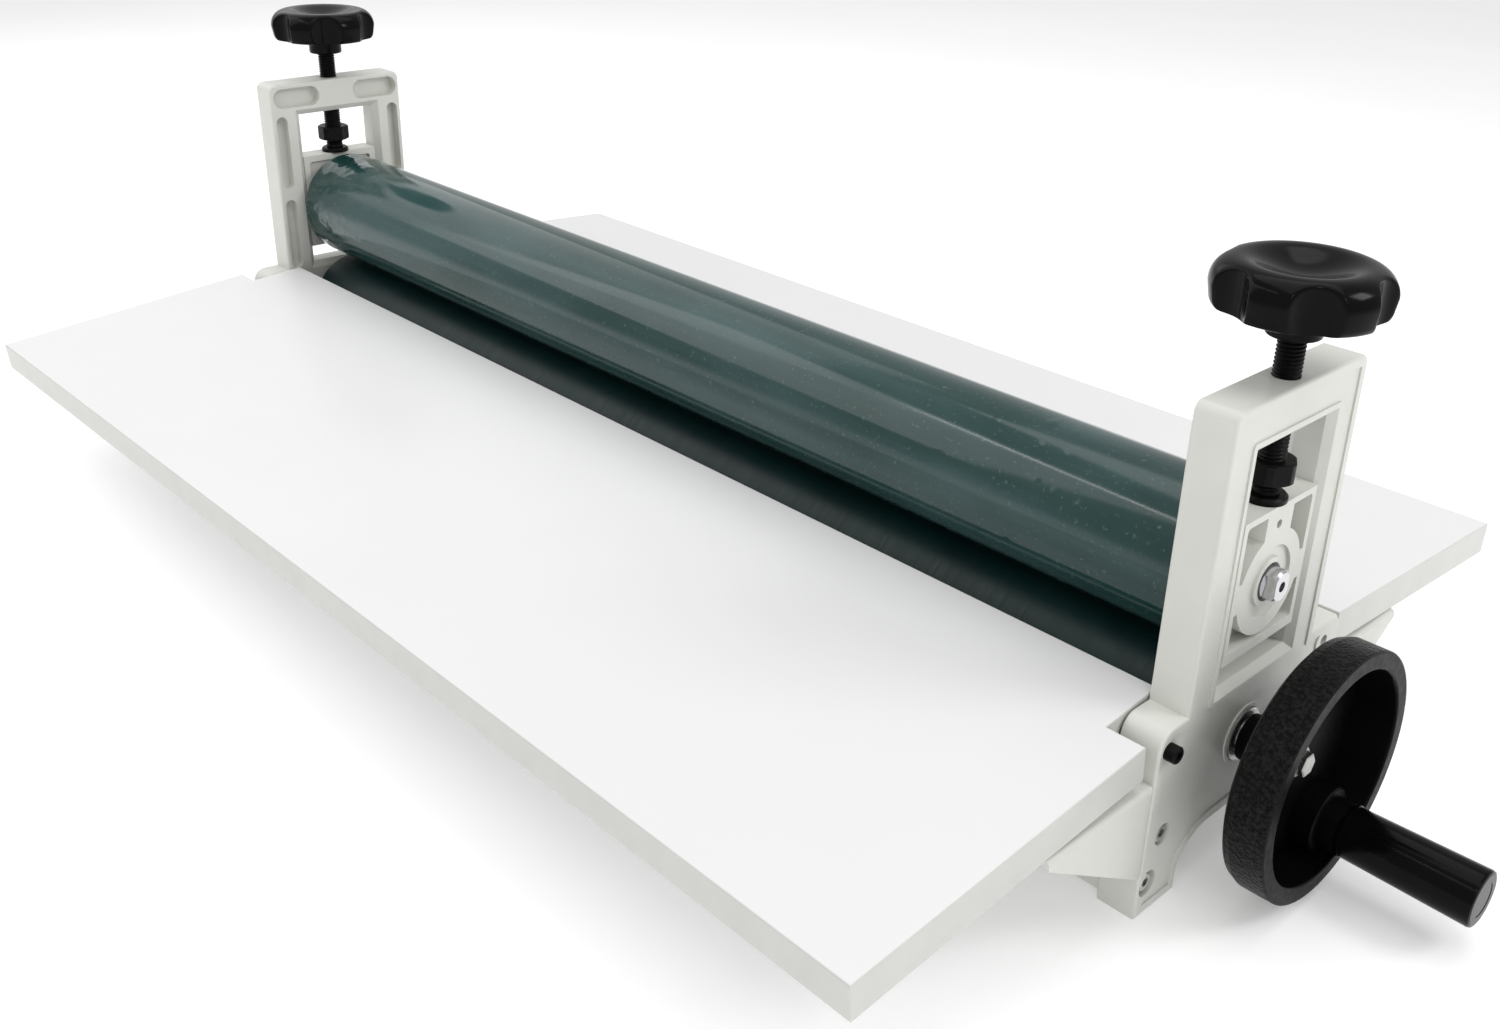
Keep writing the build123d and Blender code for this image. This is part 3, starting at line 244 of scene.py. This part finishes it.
def filmed_rubber(name):
    """Blue-green rubber under clear glossy film, with lighter lengthwise haze in its colour that is
    painted reflection of the film's sheen.
    """
    s = Surface(name, Roughness=0.6, Specular_IOR_Level=0.0, Coat_Weight=1.0, Coat_IOR=1.45)
    reflection_streaks = s.noise(1.0, 4, 0.55, s.stretched((2.2, 38, 38)))
    reflection_and_gloss_clouds = s.noise(1.0, 3, 0.5, s.stretched((7, 16, 16)))
    # Painted reflection: the lighter lengthwise streaks and clouds in the base colour stand in for
    # the film's sheen; the same clouds also vary the coat's real roughness.
    painted_reflection_haze = s.remap(s.math("ADD", reflection_streaks, reflection_and_gloss_clouds), 0.8, 1.3, smooth=True)
    teal = s.blend(painted_reflection_haze, rgb(0.010, 0.040, 0.036), rgb(0.036, 0.078, 0.078))
    specks = s.remap(s.noise(420, 3), 0.62, 0.8)
    s.join(s.blend(specks, teal, rgb(0.08, 0.13, 0.13)), "Base Color")
    s.join(s.spread(reflection_and_gloss_clouds, 0.04, 0.16), "Coat Roughness")
    s.bump(s.noise(1.0, 3, 0.5, s.stretched((3, 30, 30))), 1.2 * MM, 0.3)
    s.bump(s.noise(130, 2), 0.06 * MM, 0.3)
    return s.material


def dark_rubber(name):
    """Ground rubber, nearly black, with faint grinding lines round the roller."""
    s = Surface(name, Roughness=0.4, Specular_IOR_Level=0.28)
    rings = s.noise(1.0, 4, 0.6, s.stretched((900, 6, 6)))
    teal = s.blend(s.spread(s.noise(30, 4)), rgb(0.002, 0.015, 0.015), rgb(0.004, 0.022, 0.022))
    s.join(teal, "Base Color")
    s.join(s.spread(rings, 0.34, 0.5), "Roughness")
    s.bump(rings, 0.02 * MM, 0.4)
    return s.material


def paper(name):
    """Plain white paper that glows a little, as a lit studio floor does."""
    s = Surface(name, Roughness=0.85)
    white = s.blend(s.spread(s.noise(3, 3)), grey(0.9), grey(0.88))
    s.join(white, "Base Color")
    s.join(white, "Emission Color")
    s.shader.inputs["Emission Strength"].default_value = 0.27
    return s.material


PAINT = rgb(0.66, 0.665, 0.62)
LOWER_AXIS_Z = (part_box("lower_roller_rubber")[0][2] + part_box("lower_roller_rubber")[1][2]) / 2

MATERIALS = {
    "frame_paint": cast_paint("cast_paint", PAINT),
    "sheet_paint": powder_coat("powder_coat", PAINT),
    "zinc_steel": plated_steel("zinc_plate", rgb(0.62, 0.62, 0.6), 0.3),
    "black_steel": black_oxide("black_oxide"),
    "laminate": laminate("white_laminate"),
    "bright_steel": plated_steel("ground_steel", rgb(0.66, 0.66, 0.68), 0.2, (4, 60, 60)),
    "upper_rubber": filmed_rubber("filmed_rubber"),
    "lower_rubber": dark_rubber("dark_rubber"),
    "wheel_plastic": wheel_moulding("wheel_moulding", LOWER_AXIS_Z),
    "knob_plastic": gloss_plastic("gloss_plastic"),
}
SLOT_OF_NODE = {part["node"]: part["material_slot"] for part in frame["record"]["subparts"]}

for node_name, slot_name in SLOT_OF_NODE.items():
    materials = NODES[node_name].data.materials
    materials.clear()
    materials.append(MATERIALS[slot_name])


# ------------------------------------------------------------- detailed pieces

# Knob: a dished six-lobed moulding over a round hub
KNOB_RADIUS = 36.2 * MM
KNOB_LOBES = 6
KNOB_CREST_RADIUS = 24.5 * MM
KNOB_DISH_DEPTH = 6 * MM
KNOB_DISH_STEPS = 12
KNOB_SHOULDER = 11 * MM
KNOB_SHOULDER_STEPS = 16
KNOB_SKIRT_HEIGHT = 10.3 * MM
KNOB_HUB_RADIUS = 11.4 * MM
KNOB_STEPS = 288
SCALLOP_RADIUS = 14.8 * MM
SCALLOP_DEPTH = 6.0 * MM
SCALLOP_EDGE = 1.6 * MM
RIGHT_SCALLOPS = radians(7.7)
LEFT_SCALLOPS = radians(180 - 24.5)

# Pressure screw: M12 thread above a plain pivot
THREAD_PITCH = 1.75 * MM
THREAD_DEPTH = 0.75 * MM
THREAD_CREST = 5.94 * MM
THREAD_RUNOUT = 1 * MM
THREAD_START = 181.1 * MM
THREAD_LAYER = 0.22 * MM
PIVOT_RADIUS = 3.5 * MM
PIVOT_BEVEL = 0.8 * MM
SCREW_STEPS = 48

# Film: it lies just inside the CAD rubber's outer radius, and its relief rises from there
FILM_INSET = 0.3 * MM
FILM_BORE = 30.2 * MM
FILM_END_ROUND = 1.2 * MM
FILM_END_LENGTH = 1.5 * MM
FILM_CALM_END = 3 * MM
FILM_STEPS = 220
FILM_STATIONS = 520
CREASED_LENGTH = 95 * MM
CREASE_HEIGHT = 0.45 * MM
CREASE_SHARPNESS = 3.2
CREASE_HALF_WIDTH = 0.31
SWELL_HEIGHT = 0.12 * MM
BLISTER_MIDDLE = 0.29
BLISTER_REACH = 0.07
BLISTER_HEIGHT = 0.9 * MM
BLISTER_THRESHOLD = 0.42


def add_object(name, data):
    obj = bpy.data.objects.new(name, data)
    bpy.context.scene.collection.objects.link(obj)
    return obj


def skin_faces(near, far, near_count, far_count):
    """Faces between two rings of points that start at those indices; a single point is a tip."""
    count = max(near_count, far_count)
    for i in range(count):
        j = (i + 1) % count
        if near_count == 1:
            yield (near, far + j, far + i)
        elif far_count == 1:
            yield (near + i, near + j, far)
        else:
            yield (near + i, near + j, far + j, far + i)


def grid_mesh(name, rings):
    """Joins rings of points into one smooth skin; a ring of one point closes an end."""
    verts, faces, starts = [], [], []
    for ring in rings:
        starts.append(len(verts))
        verts.extend(ring)
    for near, far, near_ring, far_ring in zip(starts, starts[1:], rings, rings[1:]):
        faces.extend(skin_faces(near, far, len(near_ring), len(far_ring)))
    mesh = bpy.data.meshes.new(name)
    mesh.from_pydata(verts, [], faces)
    mesh.shade_smooth()
    return mesh


def add_piece(mesh, node, body):
    """Adds a mesh that stands for a CAD node, with that node's material."""
    slot = SLOT_OF_NODE[node]
    piece = add_object(mesh.name, mesh)
    mesh.materials.append(MATERIALS[slot])
    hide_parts(node)
    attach(piece, body)


def rounded(points, steps):
    """A profile with its corners cut off and rounded, as points along quadratic curves."""
    profile = [points[0]]
    for before, corner, after in zip(points, points[1:], points[2:]):
        cut = corner[2] if len(corner) > 2 else 0
        if not cut:
            profile.append(corner[:2])
            continue
        entry = toward(corner, before, cut)
        leave = toward(corner, after, cut)
        for i in range(steps + 1):
            profile.append(on_curve(entry, corner, leave, i / steps))
    profile.append(points[-1])
    return [point[:2] for point in profile]


def toward(start, end, distance):
    length = hypot(end[0] - start[0], end[1] - start[1])
    share = min(distance / length, 0.5)
    return (start[0] + (end[0] - start[0]) * share, start[1] + (end[1] - start[1]) * share)


def on_curve(start, control, end, t):
    a, b, c = (1 - t) ** 2, 2 * t * (1 - t), t * t
    return (a * start[0] + b * control[0] + c * end[0], a * start[1] + b * control[1] + c * end[1])


def smooth_min(a, b, width):
    share = max(width - abs(a - b), 0.0) / width
    return min(a, b) - share * share * width / 4


def knob_underside(bottom, skirt, top):
    """Half section from the hub's middle out to the widest point, as (radius, height, rounding)."""
    return rounded(
        [
            (0.0, bottom),
            (KNOB_HUB_RADIUS, bottom, 1.0 * MM),
            (KNOB_HUB_RADIUS, skirt + 4 * MM, 1.0 * MM),
            (KNOB_RADIUS - 12 * MM, skirt + 4 * MM, 1.0 * MM),
            (KNOB_RADIUS - 10 * MM, skirt, 1.0 * MM),
            (KNOB_RADIUS - 2.6 * MM, skirt, 1.4 * MM),
            (KNOB_RADIUS - 1.2 * MM, skirt + 2.2 * MM, 1.2 * MM),
            (KNOB_RADIUS, top - KNOB_SHOULDER),
        ],
        5,
    )


def knob_profile(bottom, top):
    """Half section of the knob, from the hub round the shoulder to the middle of the dish."""
    profile = knob_underside(bottom, bottom + KNOB_SKIRT_HEIGHT, top)
    for i in range(1, KNOB_SHOULDER_STEPS + 1):
        angle = radians(90) * i / KNOB_SHOULDER_STEPS
        inward = (KNOB_RADIUS - KNOB_CREST_RADIUS) * (1 - cos(angle) ** 0.85)
        profile.append((KNOB_RADIUS - inward, top - KNOB_SHOULDER + KNOB_SHOULDER * sin(angle)))
    for i in reversed(range(KNOB_DISH_STEPS)):
        share = i / KNOB_DISH_STEPS
        profile.append((KNOB_CREST_RADIUS * share, top - KNOB_DISH_DEPTH * (1 - share**2) ** 1.6))
    return profile


def scalloped(radius, angle, scallop_turn):
    """That radius, drawn in where a finger scallop passes, with the scallop's edge rounded over."""
    if radius <= KNOB_HUB_RADIUS + 2 * MM:
        return radius
    lobe = tau / KNOB_LOBES
    local = (angle - scallop_turn + lobe / 2) % lobe - lobe / 2
    centre = KNOB_RADIUS - SCALLOP_DEPTH + SCALLOP_RADIUS
    reach = SCALLOP_RADIUS**2 - (centre * sin(local)) ** 2
    if reach <= 0:
        return radius
    return smooth_min(radius, centre * cos(local) - reach**0.5, SCALLOP_EDGE)


def knob_mesh(name, node, scallop_turn):
    """Six-lobed knob; the scallops' edges are rounded over, which a plain cut leaves sharp."""
    low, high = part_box(node)
    middle = (low[0] + high[0]) / 2
    rings = []
    for radius, z in knob_profile(low[2], high[2]):
        if radius == 0:
            rings.append([(middle, 0.0, z)])
            continue
        ring = []
        for i in range(KNOB_STEPS):
            angle = tau * i / KNOB_STEPS
            here = scalloped(radius, angle, scallop_turn)
            ring.append((middle + here * cos(angle), here * sin(angle), z))
        rings.append(ring)
    return grid_mesh(name, rings)


def thread_radius(z, angle, start, stop):
    """Radius of a metric thread at a height and an angle, running out at both of its ends."""
    if z <= start or z >= stop:
        return THREAD_CREST
    phase = ((z - start) / THREAD_PITCH - angle / tau) % 1.0
    flank = abs(2 * phase - 1)
    valley = min(max((flank - 0.15) / 0.7, 0.0), 1.0)
    fade = min((z - start) / THREAD_PITCH, (stop - z) / THREAD_PITCH, 1.0)
    return THREAD_CREST - THREAD_DEPTH * valley * fade


def upright_ring(x, z, radius_at):
    """Ring of points round an upright axis, at a radius that can vary with the angle."""
    ring = []
    for i in range(SCREW_STEPS):
        angle = tau * i / SCREW_STEPS
        radius = radius_at(angle)
        ring.append((x + radius * cos(angle), radius * sin(angle), z))
    return ring


def screw_mesh(name, node):
    """Pressure screw with real turns of thread above its plain pivot."""
    low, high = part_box(node)
    x = (low[0] + high[0]) / 2
    bottom, top = low[2], high[2]
    rings = [[(x, 0.0, bottom)]]
    rings.append(upright_ring(x, bottom, lambda angle: PIVOT_RADIUS - PIVOT_BEVEL))
    rings.append(upright_ring(x, bottom + PIVOT_BEVEL, lambda angle: PIVOT_RADIUS))
    rings.append(upright_ring(x, THREAD_START, lambda angle: PIVOT_RADIUS))
    start, stop = THREAD_START + THREAD_RUNOUT, top - THREAD_RUNOUT
    layers = int((top - THREAD_START) / THREAD_LAYER)
    for k in range(layers + 1):
        z = THREAD_START + (top - THREAD_START) * k / layers
        rings.append(upright_ring(x, z, lambda angle: thread_radius(z, angle, start, stop)))
    rings.append([(x, 0.0, top)])
    return grid_mesh(name, rings)


def film_creases(x, along, end):
    """Sharp folds on slow swells, gathered toward the left end."""
    gathered = max(0.0, 1 - (x + end) / CREASED_LENGTH) ** 1.5
    fold = abs(noise.noise(Vector(((x + 0.6 * along) * 55, (along - 0.4 * x) * 120, 3.0))))
    crease = (1 - fold * CREASE_SHARPNESS) if fold < CREASE_HALF_WIDTH else 0.0
    swell = noise.noise(Vector((x * 9, along * 26, 7.0)))
    return CREASE_HEIGHT * gathered * crease + SWELL_HEIGHT * swell * gathered


def film_blisters(x, along):
    """Small raised blisters in a patch toward the right end."""
    near_patch = max(0.0, 1 - abs(x - BLISTER_MIDDLE) / BLISTER_REACH)
    blister = noise.noise(Vector((x * 210, along * 210, 11.0)))
    return BLISTER_HEIGHT * max(0.0, blister - BLISTER_THRESHOLD) * near_patch


def roller_ring(x, axis_z, radius_at):
    """Ring of points round the roller's axis, ordered so that the skin faces outward."""
    ring = []
    for i in reversed(range(FILM_STEPS)):
        angle = tau * i / FILM_STEPS
        radius = radius_at(angle)
        ring.append((x, radius * cos(angle), axis_z + radius * sin(angle)))
    return ring


def film_ring(x, end, axis_z, radius):
    """One ring of the film: its relief fades out and its edge rounds over at the roller's ends."""
    from_end = end - abs(x)
    drop = FILM_END_ROUND * (1 - min(from_end / FILM_END_LENGTH, 1.0)) ** 2
    calm = min(from_end / FILM_CALM_END, 1.0)

    def radius_at(angle):
        along = radius * sin(angle) + radius * 0.3 * cos(angle)
        relief = film_creases(x, along, end) + film_blisters(x, along)
        return radius - FILM_INSET - drop + relief * calm

    return roller_ring(x, axis_z, radius_at)


def film_mesh(name, node):
    """The upper roller's covering, with the creases and blisters of its film as real relief."""
    low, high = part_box(node)
    end = high[0]
    axis_z = (low[2] + high[2]) / 2
    radius = (high[2] - low[2]) / 2
    rings = [roller_ring(-end, axis_z, lambda angle: FILM_BORE)]
    for k in range(FILM_STATIONS + 1):
        rings.append(film_ring(-end + 2 * end * k / FILM_STATIONS, end, axis_z, radius))
    rings.append(roller_ring(end, axis_z, lambda angle: FILM_BORE))
    return grid_mesh(name, rings)


add_piece(knob_mesh("right_knob_moulding", "right_knob", RIGHT_SCALLOPS), "right_knob", "right_screw")
add_piece(knob_mesh("left_knob_moulding", "left_knob", LEFT_SCALLOPS), "left_knob", "left_screw")
for side in ("right", "left"):
    screw_node = f"{side}_pressure_screw"
    add_piece(screw_mesh(f"{side}_threaded_screw", screw_node), screw_node, f"{side}_screw")
film = film_mesh("upper_roller_film", "upper_roller_rubber")
add_piece(film, "upper_roller_rubber", "upper_roller")


# ------------------------------------------------------------- stage and light

FLOOR_REACH = 12.0
WORLD_STRENGTH = 0.6


def aimed(obj, target, roll=0.0):
    """Turns a camera or light at a target, with a roll about its own axis."""
    direction = Vector(target) - obj.location
    obj.rotation_mode = "QUATERNION"
    obj.rotation_quaternion = direction.to_track_quat("-Z", "Y") @ Quaternion((0, 0, 1), roll)


def add_camera():
    data = bpy.data.cameras.new("camera")
    data.lens = 35.99
    data.sensor_width = 36.0
    data.shift_x = -0.0216
    data.shift_y = -0.0376
    data.clip_start = 0.01
    camera = add_object("camera", data)
    camera.location = (0.6519, -0.5408, 0.4503)
    aimed(camera, (0.0042, 0.0958, 0.0316), roll=0.030)
    bpy.context.scene.camera = camera


def softbox(name, location, target, width, height, power):
    """Rectangular light of that size in metres and power in watts."""
    data = bpy.data.lights.new(name, "AREA")
    data.shape = "RECTANGLE"
    data.size = width
    data.size_y = height
    data.energy = power
    light = add_object(name, data)
    light.location = location
    aimed(light, target)


def add_floor():
    mesh = bpy.data.meshes.new("floor")
    corners = [(-1, -1), (1, -1), (1, 1), (-1, 1)]
    mesh.from_pydata([(x * FLOOR_REACH, y * FLOOR_REACH, 0) for x, y in corners], [], [(0, 1, 2, 3)])
    mesh.materials.append(paper("floor_paper"))
    add_object("floor", mesh)


def add_world():
    world = bpy.data.worlds.new("studio")
    world.use_nodes = True
    background = world.node_tree.nodes["Background"]
    background.inputs["Color"].default_value = grey(1.0)
    background.inputs["Strength"].default_value = WORLD_STRENGTH
    bpy.context.scene.world = world


add_camera()
add_floor()
add_world()
softbox("overhead", (0.3, 0.1, 1.9), (0.2, 0, 0.1), width=2.4, height=1.4, power=14)
softbox("left_fill", (-1.1, -0.9, 1.2), (-0.4, 0, 0.15), width=1.2, height=1.2, power=6)
softbox("left_back", (-1.6, 0.1, 1.2), (-0.2, 0, 0.15), width=1.8, height=1.4, power=5)
softbox("right_side", (1.6, 0.7, 1.4), (0.4, 0, 0.12), width=0.6, height=0.6, power=10)
softbox("strip", (-0.4, -1.0, 1.7), (0.2, 0, 0.15), width=1.4, height=0.05, power=1.6)
softbox("window", (1.5, -0.9, 1.2), (0.45, 0, 0.1), width=0.12, height=0.5, power=2.0)
bpy.context.scene.view_settings.view_transform = "Standard"
